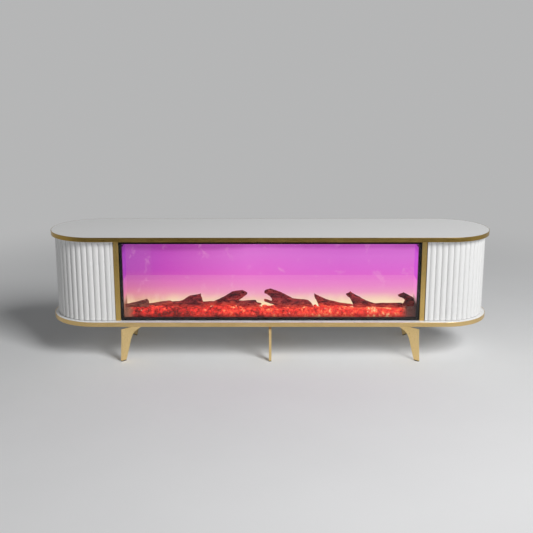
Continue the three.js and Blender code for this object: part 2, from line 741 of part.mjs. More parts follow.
// The motor hangs on a bracket from the case's top, beside the duct.
function blowerMotorGeometry() {
  const { y, z } = WHEEL;
  const x0 = DUCT_X + GAP;
  const x1 = DUCT_X + 42;
  const bracketHalf = 12;
  const body = rodX(20, x0, x1, y, z, 20);
  const bracket = box(x0, x1, y - bracketHalf, y + bracketHalf, z, CASE_HIGH - STEEL - GAP);
  return cut(join(body, bracket), rodX(SHAFT + GAP, x0 - THROUGH, x0 + 16, y, z, 12));
}

add('blower_wheel', wheelGeometry(), plastic);
add('blower_motor', blowerMotorGeometry(), darkSteel);

// A ceramic heater bar with fins across the duct.
const HEATER = { halfLength: 155, y: -22, half: 4, low: 482, high: 489 };
const FINS = { count: 9, pitch: 36, half: 12, low: 474, high: 497 };
const fins = Array.from({ length: FINS.count }, (_, i) => {
  const x = (i - (FINS.count - 1) / 2) * FINS.pitch;
  return box(x - 1, x + 1, HEATER.y - FINS.half, HEATER.y + FINS.half, FINS.low, FINS.high);
});
add('heater_element', join(
  box(
    -HEATER.halfLength, HEATER.halfLength, HEATER.y - HEATER.half, HEATER.y + HEATER.half,
    HEATER.low, HEATER.high,
  ),
  ...fins,
), steel);

// ---------------------------------------------------------------- electrics

// The control board stands on four spacers on the inside of the case's back.
const PCB = { x0: 400, x1: 520, z0: 260, z1: 350, thickness: 2, spacer: 6 };
const caseInside = CASE_BACK - STEEL - GAP;
const pcbBack = caseInside - PCB.spacer;
const pcbFront = pcbBack - PCB.thickness;

// A component on the board, from its lower left corner, with its size and height.
const component = (x, z, width, height, depth) =>
  box(PCB.x0 + x, PCB.x0 + x + width, pcbFront - depth, pcbFront + 1, PCB.z0 + z, PCB.z0 + z + height);

const SPACER_INSET = 5;
const spacers = [PCB.x0 + SPACER_INSET, PCB.x1 - SPACER_INSET].flatMap((x) =>
  [PCB.z0 + SPACER_INSET, PCB.z1 - SPACER_INSET].map((z) =>
    rodY(2.5, pcbFront + 1, caseInside, x, z, 8)));
add('control_board', join(
  box(PCB.x0, PCB.x1, pcbFront, pcbBack, PCB.z0, PCB.z1),
  component(15, 15, 35, 35, 22),
  component(65, 15, 20, 15, 14),
  component(65, 40, 20, 15, 14),
  component(90, 60, 20, 20, 20),
  ...spacers,
), board);

// The mains inlet and its rocker switch share one moulded module in the case's back.
const FLANGE = 3;
const flangeFront = CASE_BACK + GAP;
const flangeBack = flangeFront + FLANGE;
const MODULE_FRONT = 100;
const CUP = { front: 116, half: 12, low: 314, high: 332 }; // round the three contacts
const CONTACTS = { spacing: 7, half: 1, front: 110, back: 129, low: 320, high: 325 };
const ROCKER_HOLE = { half: 11, halfHeight: 17, front: 112 };

const inletBody = join(
  aroundInlet(0, flangeFront, flangeBack),
  aroundInlet(INLET_LIP + 1, MODULE_FRONT, flangeFront + 1),
);
const contacts = [-1, 0, 1].map((place) => {
  const x = INLET.x + place * CONTACTS.spacing;
  return box(
    x - CONTACTS.half, x + CONTACTS.half, CONTACTS.front, CONTACTS.back, CONTACTS.low, CONTACTS.high,
  );
});
const cup = cut(
  box(INLET.x - CUP.half, INLET.x + CUP.half, CUP.front, flangeBack + THROUGH, CUP.low, CUP.high),
  ...contacts,
);
const rockerHole = box(
  INLET.x - ROCKER_HOLE.half, INLET.x + ROCKER_HOLE.half, ROCKER_HOLE.front, flangeBack + THROUGH,
  ROCKER.z - ROCKER_HOLE.halfHeight, ROCKER.z + ROCKER_HOLE.halfHeight,
);
const ROCKER_PIN = 1.5;
const pinBore = rodX(ROCKER_PIN + RUNNING, INLET.x - 13, INLET.x + 13, ROCKER.y, ROCKER.z, 8);
add('power_inlet', cut(inletBody, cup, rockerHole, pinBore), plastic);

const rockerShape = outline([[-4, -6], [8, -13], [5, 0], [8, 13], [-4, 6]]);
const rocker = join(extrudeX(rockerShape, -10, 10), rodX(ROCKER_PIN, -12.5, 12.5, 0, 0, 8));
add('power_rocker', rocker
  .rotateX(ROCKER.restTilt)
  .translate(INLET.x, ROCKER.y, ROCKER.z), plastic);

export default model;
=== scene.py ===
"""Electric fireplace in a low stadium-shaped cabinet: its looks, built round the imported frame.

Everything is in metres in the part's own frame: +X along the cabinet, -Y out of its front, +Z up.
"""

import math
import random

import bmesh
import bpy
from mathutils import Matrix, Vector, noise


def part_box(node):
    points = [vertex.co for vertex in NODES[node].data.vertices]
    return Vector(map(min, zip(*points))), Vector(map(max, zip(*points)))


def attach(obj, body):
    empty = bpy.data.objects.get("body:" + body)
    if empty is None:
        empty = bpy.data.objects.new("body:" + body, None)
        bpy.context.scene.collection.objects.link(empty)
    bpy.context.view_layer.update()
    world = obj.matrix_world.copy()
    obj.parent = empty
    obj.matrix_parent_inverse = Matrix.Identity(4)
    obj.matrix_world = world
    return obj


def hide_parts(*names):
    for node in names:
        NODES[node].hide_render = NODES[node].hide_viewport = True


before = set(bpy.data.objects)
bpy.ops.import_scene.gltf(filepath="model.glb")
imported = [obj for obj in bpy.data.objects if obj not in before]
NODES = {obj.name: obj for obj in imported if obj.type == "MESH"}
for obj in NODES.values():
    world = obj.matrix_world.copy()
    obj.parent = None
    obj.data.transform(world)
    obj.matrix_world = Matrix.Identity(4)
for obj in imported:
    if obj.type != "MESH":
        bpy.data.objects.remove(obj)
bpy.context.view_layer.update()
SIDES = ("right", "left")
LEGS = ("front_left", "front_right", "rear_left", "rear_right", "front_centre", "rear_centre")
CABINET = "cabinet"


# ------------------------------------------------------------------ camera, floor and lights

CAMERA_PLACE = (-0.0148, -3.6984, 1.292)
CAMERA_PITCH = math.radians(14.22)
LENS = 61.83
FLOOR_RADIUS = 9.0
FLOOR_FADE = (1.25, 3.0)  # from here outwards the floor turns into the backdrop's even tone
BACKDROP_PROFILE = ((9.0, 0.0), (10.2, 0.2), (11.3, 0.9), (12.0, 2.2), (12.3, 4.0), (12.3, 9.0))
WORLD_STRENGTH = 0.15
CARD_HALF = 6.0  # the dark card that the glass and the gold mirror in place of the bright floor
CARD_Z = 0.002
CARD_EDGE = -1.43  # its edge towards the cabinet
KEY_PLACE = (3.0, -3.9, 3.9)
KEY_AIM = (0, 0, 0.3)
KEY_SIZE = (2.6, 2.6)
KEY_POWER = 292


def make_camera():
    data = bpy.data.cameras.new("camera")
    data.lens = LENS
    data.sensor_width = 36.0
    data.clip_end = 200.0
    camera = bpy.data.objects.new("camera", data)
    camera.location = CAMERA_PLACE
    camera.rotation_euler = (math.pi / 2 - CAMERA_PITCH, 0, 0)
    bpy.context.scene.collection.objects.link(camera)
    bpy.context.scene.camera = camera


def add_area(name, place, aim, size, power):
    data = bpy.data.lights.new(name, "AREA")
    data.shape = "RECTANGLE"
    data.size, data.size_y = size
    data.energy = power
    light = bpy.data.objects.new(name, data)
    light.location = place
    direction = Vector(aim) - Vector(place)
    light.rotation_euler = direction.to_track_quat("-Z", "Y").to_euler()
    light.visible_camera = False
    bpy.context.scene.collection.objects.link(light)


def stage_object(name, points, faces, look):
    mesh = bpy.data.meshes.new(name)
    mesh.from_pydata(points, [], faces)
    mesh.shade_smooth()
    mesh.materials.append(look)
    made = bpy.data.objects.new(name, mesh)
    bpy.context.scene.collection.objects.link(made)
    return made


def ring_points(radius, z, count=96):
    turns = [2 * math.pi * i / count for i in range(count)]
    return [(radius * math.cos(turn), radius * math.sin(turn), z) for turn in turns]


def make_backdrop(look):
    """A round wall far off, so that every view has an even background. Only gloss reflects it."""
    points = []
    for radius, z in BACKDROP_PROFILE:
        points += ring_points(radius, z)
    count = len(points) // len(BACKDROP_PROFILE)
    faces = []
    for ring in range(len(BACKDROP_PROFILE) - 1):
        for i in range(count):
            near, far = ring * count, (ring + 1) * count
            j = (i + 1) % count
            faces.append((near + i, near + j, far + j, far + i))
    wall = stage_object("backdrop", points, faces, look)
    wall.visible_diffuse = False
    wall.visible_transmission = False
    wall.visible_shadow = False


def make_studio():
    world = bpy.data.worlds.new("studio")
    world.use_nodes = True
    background = world.node_tree.nodes["Background"]
    background.inputs["Color"].default_value = (0.99, 1.0, 1.01, 1)
    background.inputs["Strength"].default_value = WORLD_STRENGTH
    bpy.context.scene.world = world
    bpy.context.scene.view_settings.view_transform = "Standard"

    pale = floor_look()
    disc = ring_points(FLOOR_RADIUS, 0)
    stage_object("floor", disc, [tuple(range(len(disc)))], pale)
    make_backdrop(pale)

    outline = (
        (-CARD_HALF, -CARD_HALF), (CARD_HALF, -CARD_HALF), (CARD_HALF, CARD_EDGE), (-CARD_HALF, CARD_EDGE))
    corners = [(x, y, CARD_Z) for x, y in outline]
    card = stage_object("dark_card", corners, [(0, 1, 2, 3)], card_look())
    card.visible_camera = False
    card.visible_diffuse = False
    card.visible_shadow = False
    card.visible_transmission = False

    add_area("key", KEY_PLACE, KEY_AIM, KEY_SIZE, KEY_POWER)


# ------------------------------------------------------------------ materials


class Look:
    """A procedural material: one Principled shader and the nodes that feed it."""

    def __init__(self, name, **constants):
        self.material = bpy.data.materials.new(name)
        self.material.use_nodes = True
        self.tree = self.material.node_tree
        self.shader = self.tree.nodes["Principled BSDF"]
        for socket, value in constants.items():
            self.feed(self.shader.inputs[socket.replace("_", " ")], value)
        self.place = self.node("ShaderNodeTexCoord").outputs["Object"]

    def feed(self, socket, value):
        if isinstance(value, bpy.types.NodeSocket):
            self.tree.links.new(value, socket)
        elif isinstance(value, tuple) and len(value) == 3 and socket.type == "RGBA":
            socket.default_value = (*value, 1)
        else:
            socket.default_value = value

    def node(self, kind, inputs=None, **settings):
        made = self.tree.nodes.new(kind)
        for key, value in settings.items():
            setattr(made, key, value)
        for socket, value in (inputs or {}).items():
            self.feed(made.inputs[socket], value)
        return made

    def set(self, socket, value):
        self.feed(self.shader.inputs[socket], value)

    def mapped(self, stretch):
        return self.node("ShaderNodeMapping", {"Vector": self.place, "Scale": stretch}).outputs[0]

    def noise(self, scale, detail=2.0, rough=0.5, stretch=(1, 1, 1), warp=0.0):
        inputs = {"Vector": self.mapped(stretch), "Scale": scale, "Detail": detail, "Roughness": rough,
                  "Distortion": warp}
        return self.node("ShaderNodeTexNoise", inputs).outputs["Fac"]

    def voronoi(self, scale, stretch=(1, 1, 1)):
        inputs = {"Vector": self.mapped(stretch), "Scale": scale}
        return self.node("ShaderNodeTexVoronoi", inputs).outputs["Distance"]

    def spread(self, value, low, high, to_low=0.0, to_high=1.0, smooth=False):
        inputs = {0: value, 1: low, 2: high, 3: to_low, 4: to_high}
        kind = "SMOOTHSTEP" if smooth else "LINEAR"
        return self.node("ShaderNodeMapRange", inputs, interpolation_type=kind).outputs[0]

    def ramp(self, factor, stops):
        made = self.node("ShaderNodeValToRGB", {"Fac": factor})
        ramp = made.color_ramp
        while len(ramp.elements) < len(stops):
            ramp.elements.new(0.5)
        for element, (position, colour) in zip(ramp.elements, stops):
            element.position = position
            element.color = (*colour, 1)
        return made.outputs["Color"]

    def mix(self, factor, first, second, kind="MIX"):
        made = self.node("ShaderNodeMix", data_type="RGBA", blend_type=kind)
        for socket, value in zip((made.inputs[0], made.inputs[6], made.inputs[7]), (factor, first, second)):
            self.feed(socket, value)
        return made.outputs[2]

    def math(self, operation, first, second):
        return self.node("ShaderNodeMath", {0: first, 1: second}, operation=operation).outputs[0]

    def axis(self, name):
        return self.node("ShaderNodeSeparateXYZ", {0: self.place}).outputs[name]

    def bump(self, height, distance):
        inputs = {"Height": height, "Distance": distance, "Strength": 1.0}
        self.set("Normal", self.node("ShaderNodeBump", inputs).outputs[0])


def floor_look():
    """Plain pale floor, which turns into an evenly lit backdrop away from the object."""
    look = Look("floor", Roughness=0.9, Specular_IOR_Level=0.0)
    grain = look.noise(3.0, 3)
    pale = look.mix(grain, (0.84, 0.845, 0.85), (0.88, 0.885, 0.89))
    away = look.node("ShaderNodeVectorMath", {0: look.place}, operation="LENGTH").outputs["Value"]
    fade = look.spread(away, *FLOOR_FADE, smooth=True)
    look.set("Base Color", look.mix(fade, pale, (0.0, 0.0, 0.0)))
    look.set("Emission Color", (0.465, 0.467, 0.469))
    look.set("Emission Strength", fade)
    return look.material


def card_look():
    look = Look("dark_card", Roughness=1.0)
    look.set("Base Color", (0.03, 0.03, 0.03))
    return look.material


def lacquer_look(name, low_tone, high_tone):
    """Sprayed satin white lacquer: a faint orange peel, slightly uneven gloss, and a painted highlight that
    mixes convex edges and crests towards a pale tone.
    """
    look = Look(name, Coat_Weight=0.15, Coat_Roughness=0.2, IOR=1.5)
    clouds = look.noise(2.2, 4, 0.6)
    low, high = ((tone, tone, tone - 0.005) for tone in (low_tone, high_tone))
    base = look.mix(clouds, low, high)
    # Painted highlight: convex edges and crests are mixed towards a pale tone.
    edge = look.node("ShaderNodeNewGeometry").outputs["Pointiness"]
    edge_highlight = look.spread(edge, 0.55, 0.62, 0.0, 0.35)
    look.set("Base Color", look.mix(edge_highlight, base, (0.9, 0.9, 0.88)))
    look.set("Roughness", look.spread(look.noise(14, 3), 0.3, 0.7, 0.36, 0.46))
    peel = look.noise(420, 2)
    look.bump(peel, 0.00004)
    return look.material


# Each gold's main colour, its deep blotches and its bright brush lines.
# One gold metal in four tones, set for how light falls on each piece: the top band's dark tone is painted
# shade, the legs' pale tone painted light, the base band and posts in between.
TOP_GOLD_SHADED = ((0.48, 0.31, 0.08), (0.37, 0.23, 0.05), (0.60, 0.42, 0.14))
BASE_GOLD = ((0.84, 0.60, 0.27), (0.70, 0.48, 0.18), (0.90, 0.68, 0.36))
POST_GOLD = ((0.77, 0.53, 0.18), (0.62, 0.40, 0.11), (0.86, 0.64, 0.27))
LEG_GOLD_LIT = ((0.96, 0.71, 0.34), (0.85, 0.61, 0.26), (0.98, 0.78, 0.44))


def gold_look(name, stretch, colour, deep, bright):
    """Satin gold metal with fine brush lines that run along the piece."""
    look = Look(name, Metallic=1.0)
    lines = look.noise(1700, 2, 0.5, stretch)
    blotch = look.noise(5, 2)
    tone = look.mix(look.spread(blotch, 0.35, 0.7), colour, deep)
    look.set("Base Color", look.mix(look.spread(lines, 0.3, 0.75, 0, 0.3), tone, bright))
    look.set("Roughness", look.spread(lines, 0.3, 0.7, 0.24, 0.40))
    look.bump(lines, 0.00002)
    return look.material


def black_look():
    """Satin black paint with a light dust and faint mottling."""
    look = Look("black_frame", Specular_IOR_Level=0.25)
    dust = look.noise(160, 3, 0.7)
    dusty = look.spread(dust, 0.5, 0.8, 0, 0.5)
    look.set("Base Color", look.mix(dusty, (0.002, 0.002, 0.0025), (0.009, 0.009, 0.01)))
    look.set("Roughness", look.spread(look.noise(30, 3), 0.3, 0.7, 0.28, 0.45))
    look.bump(dust, 0.00003)
    return look.material


def case_look():
    """Matt black powder coat."""
    look = Look("case_steel")
    grain = look.noise(700, 2, 0.6)
    look.set("Base Color", look.mix(grain, (0.012, 0.012, 0.013), (0.028, 0.028, 0.03)))
    look.set("Roughness", look.spread(grain, 0.3, 0.7, 0.5, 0.7))
    look.bump(grain, 0.0001)
    return look.material


def glass_look():
    """Clear tempered glass with a trace of wiping marks."""
    look = Look("clear_glass", Transmission_Weight=1.0, IOR=1.27)
    wiped = look.noise(6, 4, 0.6, (1, 1, 5))
    look.set("Base Color", look.mix(wiped, (0.985, 0.975, 0.985), (1.0, 0.99, 1.0)))
    look.set("Roughness", look.spread(wiped, 0.45, 0.75, 0.0, 0.015))
    return look.material


FLAME_LOW = 0.196  # the part of the flame screen that shows above the coals
FLAME_HIGH = 0.455
# The painted reflection of the floor in the glass lies below this height, and above it only left of this x.
REFLECTION_TOP = 0.3345
REFLECTION_LEFT = -0.487
FOOT_LOW = 0.232  # the side panels' foot takes its painted light and shade from the upper of these heights down to the lower
FOOT_HIGH = 0.262
SCREEN_MIDDLE = (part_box("flame_screen")[0].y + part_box("flame_screen")[1].y) / 2


def flame_look(name, half, tint, foot_light_and_shade=False):
    """Lit acrylic: pale flame light low down, rising through pink to violet, darker to the left, with a
    painted reflection of the floor in the glass over its lower part.

    It glows only in front of the flame screen's middle plane, so the screen's back stays dark.
    """
    look = Look(name, Roughness=0.5, Specular_IOR_Level=0.1)
    look.set("Base Color", (0.02, 0.01, 0.02))
    height = look.spread(look.axis("Z"), FLAME_LOW, FLAME_HIGH)
    along = look.spread(look.axis("X"), -half, half)

    drift = look.noise(2.2, 3, 0.5, (1, 1, 1.6), 0.4)
    lifted = look.math("ADD", height, look.spread(drift, 0.3, 0.7, -0.04, 0.04))
    body = look.ramp(lifted, (
        (0.00, (0.95, 0.60, 0.34)),
        (0.06, (0.95, 0.72, 0.46)),
        (0.13, (0.85, 0.47, 0.45)),
        (0.23, (0.82, 0.29, 0.51)),
        (0.37, (0.79, 0.19, 0.56)),
        (0.50, (0.78, 0.145, 0.60)),
        (0.65, (0.75, 0.155, 0.63)),
        (0.85, (0.72, 0.180, 0.64)),
        (0.94, (0.68, 0.160, 0.61)),
        (1.00, (0.48, 0.090, 0.43)),
    ))
    left = look.ramp(along, (
        (0.00, (0.58, 0.37, 0.70)),
        (0.08, (0.66, 0.40, 0.74)),
        (0.14, (0.75, 0.44, 0.78)),
        (0.27, (0.88, 0.70, 0.87)),
        (0.42, (1.00, 1.00, 1.00)),
        (0.75, (0.95, 0.86, 0.99)),
        (1.00, (0.97, 0.94, 1.02)),
    ))
    warm_left = look.ramp(along, (
        (0.00, (0.80, 0.62, 0.60)),
        (0.14, (0.94, 0.88, 0.78)),
        (0.30, (0.98, 0.96, 0.90)),
        (0.45, (1.00, 1.00, 1.00)),
        (1.00, (0.99, 1.00, 1.00)),
    ))
    gain = look.mix(look.spread(height, 0.25, 0.62), warm_left, left)
    colour = look.mix(1.0, body, gain, "MULTIPLY")

    tongues = look.noise(7.5, 3, 0.55, (1, 1, 0.35), 0.8)
    near_logs = look.spread(height, 0.04, 0.26, 1.0, 0.0)
    glow = look.math("MULTIPLY", look.spread(tongues, 0.42, 0.62, 0.0, 0.85), near_logs)
    colour = look.mix(glow, colour, (0.94, 0.75, 0.52))

    puffs = look.noise(19.0, 4, 0.55, (1, 1, 0.8), 0.4)
    colour = look.mix(look.spread(puffs, 0.60, 0.78, 0.0, 0.42), colour, (0.88, 0.50, 0.66))

    # Painted reflection: the floor's pale reflection in the glass is painted over the lower part and,
    # fainter, over the upper left corner.
    above = look.spread(look.axis("Z"), REFLECTION_TOP - 0.001, REFLECTION_TOP + 0.001)
    colour = look.mix(1.0, colour, look.mix(above, (1.0, 1.0, 1.0), tint), "MULTIPLY")
    corner = look.spread(look.axis("X"), REFLECTION_LEFT - 0.004, REFLECTION_LEFT + 0.004, 1.0, 0.0)
    floor_reflection = look.mix(above, (0.037, 0.056, 0.012), look.mix(corner, (0.0, 0.0, 0.0), (0.008, 0.016, 0.0)))
    colour = look.mix(1.0, colour, floor_reflection, "ADD")
    # Painted light and shade at the foot: a tan glow of painted light on the left panel, dark painted shade
    # on the right panel.
    if foot_light_and_shade:
        right = look.spread(look.axis("X"), -0.01, 0.01)
        foot = look.mix(right, (0.33, 0.125, 0.075), (0.03, 0.014, 0.012))
        colour = look.mix(look.spread(look.axis("Z"), FOOT_LOW, FOOT_HIGH), foot, colour)
    look.set("Emission Color", colour)
    in_front = look.spread(look.axis("Y"), SCREEN_MIDDLE - 0.001, SCREEN_MIDDLE, 1.0, 0.0)
    look.set("Emission Strength", in_front)
    return look.material


# Heights and distances from the bed's ends between which the coals' light and the logs' painted light change.
CREST_GLOW = (0.200, 0.216)
FRONT_SHADE = (0.183, 0.197)
COALS_LIT_LEFT = (0.018, 0.040)
COALS_LIT_RIGHT = (0.060, 0.035)
LOGS_TAN_LEFT = (0.09, 0.20)
LOGS_LIT_LEFT = (0.06, 0.22)
LOGS_LIT_RIGHT = (0.12, 0.04)
LOGS_COAL_GLOW_LOW = (0.205, 0.25)
LOGS_COAL_GLOW_BAND = (0.212, 0.232)


def from_left(half, distances):
    return [-half + distance for distance in distances]


def from_right(half, distances):
    return [half - distance for distance in distances]


def ember_look(half):
    """Glowing red coals: brightest on the lumps and the crest, dim at both ends of the bed, where painted
    light lies on the left end and painted shade on the right.
    """
    look = Look("embers", Roughness=0.6, Specular_IOR_Level=0.1)
    grain = look.noise(150, 4, 0.7, (1, 1, 0.6), 0.6)
    lumps = look.voronoi(55)
    patches = look.noise(16, 2, 0.5)
    heat = look.math("ADD", look.spread(grain, 0.3, 0.7, -0.2, 0.5), look.spread(lumps, 0.1, 0.7, 0.42, 0.0))
    heat = look.math("ADD", heat, look.spread(patches, 0.35, 0.68, -0.12, 0.22))
    sparks = look.noise(34, 3, 0.6, (0.7, 1, 1.6), 1.2)
    crest = look.spread(look.axis("Z"), *CREST_GLOW)
    heat = look.math("ADD", heat, look.math("MULTIPLY", crest, look.spread(sparks, 0.5, 0.68, 0.0, 0.45)))
    heat = look.math("ADD", heat, look.spread(look.axis("X"), -half, half, -0.12, 0.26))
    glow = look.ramp(heat, (
        (0.00, (0.06, 0.003, 0.003)),
        (0.22, (0.46, 0.014, 0.012)),
        (0.42, (0.84, 0.028, 0.022)),
        (0.62, (0.93, 0.058, 0.033)),
        (0.80, (0.97, 0.23, 0.08)),
        (1.00, (1.00, 0.70, 0.36)),
    ))
    specks = look.spread(look.voronoi(24), 0.02, 0.075, 1.0, 0.0)
    glow = look.mix(specks, glow, (1.0, 0.78, 0.48))
    shaded = look.spread(look.axis("Z"), *FRONT_SHADE, 0.38, 1.0)
    along = look.axis("X")
    # Painted light and shade past the lamps' reach: a tan glow of painted light at the left end, dark painted
    # shade at the right end.
    ends = look.ramp(look.spread(along, -half, half), (
        (0.00, (0.14, 0.070, 0.045)),
        (0.02, (0.33, 0.115, 0.070)),
        (0.50, (0.20, 0.070, 0.045)),
        (0.96, (0.085, 0.032, 0.026)),
        (1.00, (0.05, 0.025, 0.022)),
    ))
    lit_left = look.spread(along, *from_left(half, COALS_LIT_LEFT))
    lit_right = look.spread(along, *from_right(half, COALS_LIT_RIGHT), 1.0, 0.0)
    lit = look.math("MULTIPLY", lit_left, lit_right)
    look.set("Base Color", look.mix(grain, (0.05, 0.01, 0.008), (0.12, 0.03, 0.02)))
    look.set("Emission Color", look.mix(lit, ends, look.mix(1.0, glow, shaded, "MULTIPLY")))
    look.set("Emission Strength", 1.0)
    look.bump(grain, 0.0015)
    return look.material


def bark_look(half):
    """Painted resin bark, maroon, with the coals' glow painted on as emission that dims towards both ends of
    the bed, and painted light as a tan tone at the bed's left end.
    """
    look = Look("log_resin", Roughness=0.85, Specular_IOR_Level=0.08)
    grain = look.noise(70, 5, 0.7, (0.35, 1, 1), 0.8)
    knots = look.voronoi(28, (0.5, 1, 1))
    maroon = look.ramp(grain, (
        (0.36, (0.010, 0.002, 0.002)),
        (0.50, (0.110, 0.010, 0.013)),
        (0.66, (0.360, 0.044, 0.036)),
    ))
    tan = look.ramp(grain, (
        (0.25, (0.09, 0.030, 0.022)),
        (0.55, (0.24, 0.095, 0.065)),
        (0.80, (0.42, 0.190, 0.120)),
    ))
    along = look.axis("X")
    # Painted light: the light falling on the bed's left end is painted as a tan bark tone.
    left_end = look.spread(along, *from_left(half, LOGS_TAN_LEFT), 1.0, 0.0)
    base = look.mix(left_end, maroon, tan)
    look.set("Base Color", look.mix(look.spread(knots, 0.0, 0.3, 0.4, 0.0), base, (0.03, 0.006, 0.006)))
    # Painted light: the coals' glow on the logs is painted on as emission, strongest low down, with red
    # streaks elsewhere.
    coal_glow_low = look.spread(look.axis("Z"), *LOGS_COAL_GLOW_LOW, 0.7, 0.0)
    ember = look.math("MULTIPLY", coal_glow_low, look.spread(grain, 0.45, 0.75))
    lit_left = look.spread(along, *from_left(half, LOGS_LIT_LEFT), 0.25, 1.0)
    lit_right = look.spread(along, *from_right(half, LOGS_LIT_RIGHT), 1.0, 0.15)
    streaks = look.ramp(grain, ((0.38, (0.030, 0.001, 0.003)), (0.66, (0.165, 0.010, 0.017))))
    coal_glow_band = look.math("MULTIPLY", look.spread(look.axis("Z"), *LOGS_COAL_GLOW_BAND, 0.75, 0.0), lit_left)
    painted_coal_glow = look.mix(coal_glow_band, streaks, (0.55, 0.022, 0.018))
    look.set("Emission Color", look.mix(ember, painted_coal_glow, (0.90, 0.16, 0.05)))
    look.set("Emission Strength", look.math("MULTIPLY", lit_left, lit_right))
    look.bump(grain, 0.002)
    return look.material


def plastic_look(name, colour, rough, grain_size=0.00005):
    """Moulded plastic with a fine spark-eroded texture."""
    look = Look(name)
    grain = look.noise(1500, 2)
    tone = look.noise(25, 2)
    pale = tuple(min(1.0, c * 1.6 + 0.004) for c in colour)
    look.set("Base Color", look.mix(look.spread(tone, 0.4, 0.8, 0, 0.4), colour, pale))
    look.set("Roughness", look.spread(grain, 0.3, 0.7, rough - 0.08, rough + 0.08))
    look.bump(grain, grain_size)
    return look.material


def steel_look():
    """Zinc-plated steel: soft spangle and rolling lines."""
    look = Look("bare_steel", Metallic=1.0)
    spangle = look.voronoi(140)
    lines = look.noise(500, 3, 0.6, (0.08, 1, 1))
    look.set("Base Color", look.mix(look.spread(spangle, 0.1, 0.7), (0.50, 0.51, 0.53), (0.62, 0.63, 0.64)))
    look.set("Roughness", look.spread(lines, 0.3, 0.7, 0.3, 0.48))
    look.bump(lines, 0.00004)
    return look.material


def circuit_look():
    """Green solder mask with faint copper tracks under it."""
    look = Look("circuit_board", Roughness=0.35)
    grid = {
        "Vector": look.mapped((1, 1, 1)),
        "Scale": 90.0,
        "Color1": (0.02, 0.12, 0.05),
        "Color2": (0.03, 0.18, 0.08),
        "Mortar": (0.05, 0.26, 0.12),
        "Mortar Size": 0.03,
    }
    tracks = look.node("ShaderNodeTexBrick", grid).outputs["Color"]
    dirt = look.noise(40, 3)
    look.set("Base Color", look.mix(look.spread(dirt, 0.4, 0.8, 0, 0.4), tracks, (0.015, 0.09, 0.04)))
    return look.material


def lens_look():
    """Warm white lamp lens, a little unevenly lit."""
    look = Look("lamp_lens", Roughness=0.2)
    cloud = look.noise(600, 2)
    look.set("Base Color", look.mix(cloud, (0.80, 0.72, 0.55), (0.90, 0.84, 0.70)))
    look.set("Emission Color", (1.0, 0.72, 0.42))
    look.set("Emission Strength", look.spread(cloud, 0.3, 0.7, 1.5, 2.2))
    return look.material


# ------------------------------------------------------------------ pieces


def link(name, mesh, body, look, replaced=()):
    made = bpy.data.objects.new(name, mesh)
    bpy.context.scene.collection.objects.link(made)
    mesh.materials.clear()
    mesh.materials.append(look)
    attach(made, body)
    if replaced:
        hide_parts(*replaced)
    return made


def smooth(mesh, angle=35):
    """Shades a mesh smooth across edges that bend less than the angle."""
    mesh.shade_smooth()
    mesh.set_sharp_from_angle(angle=math.radians(angle))
    return mesh


def ease(made, width, segments=2, angle=30):
    """Rounds the sharp edges a little, so that they catch the light."""
    bevel = made.modifiers.new("ease", "BEVEL")
    bevel.width = width
    bevel.segments = segments
    bevel.limit_method = "ANGLE"
    bevel.angle_limit = math.radians(angle)
    bevel.use_clamp_overlap = True
    normals = made.modifiers.new("normals", "WEIGHTED_NORMAL")
    normals.keep_sharp = True


def join_rings(bm, rings):
    """Faces from each ring of corners to the next."""
    for near, far in zip(rings, rings[1:]):
        for i in range(len(near)):
            j = (i + 1) % len(near)
            bm.faces.new((near[i], near[j], far[j], far[i]))


def loft(bm, rings):
    """A solid through matching rings of corners, closed at both ends."""
    join_rings(bm, rings)
    bm.faces.new(rings[-1])
    bm.faces.new(list(reversed(rings[0])))


def finished(bm, name):
    """The bmesh as a mesh with its faces turned outwards."""
    bmesh.ops.recalc_face_normals(bm, faces=bm.faces)
    mesh = bpy.data.meshes.new(name)
    bm.to_mesh(mesh)
    bm.free()
    return mesh


MERGE_DISTANCE = 2e-6
FLAT_ANGLE = math.radians(0.5)  # facets that bend less than this are joined


def cad_mesh(node):
    """A CAD node's mesh as clean faces: shared corners merged, flat triangles joined."""
    bm = bmesh.new()
    bm.from_mesh(NODES[node].data)
    bmesh.ops.remove_doubles(bm, verts=bm.verts, dist=MERGE_DISTANCE)
    bmesh.ops.dissolve_limit(bm, angle_limit=FLAT_ANGLE, verts=bm.verts, edges=bm.edges)
    mesh = bpy.data.meshes.new(node)
    bm.to_mesh(mesh)
    bm.free()
    return smooth(mesh)


def refined(node, look, width=0.0006, body=CABINET, segments=2):
    """The CAD node with its edges eased."""
    ease(link(f"{node}_shape", cad_mesh(node), body, look, [node]), width, segments)


# Fluted walls ------------------------------------------------------

REED_DEPTH = 0.0065
REED_PITCH = 0.024
WALL = 0.016
STILE = 0.011
HINGE_STILE = 0.009
STILE_RECESS = 0.002  # the stile's face lies this far behind the reeds' crests
REED_STEPS = 16
TIP_STEPS = 16
INSIDE_STEPS = 40
ROOT_WIDTH = 0.04  # share of the pitch that is flat groove
DOOR_GAP = 0.0018
WALL_EASE = 0.0005


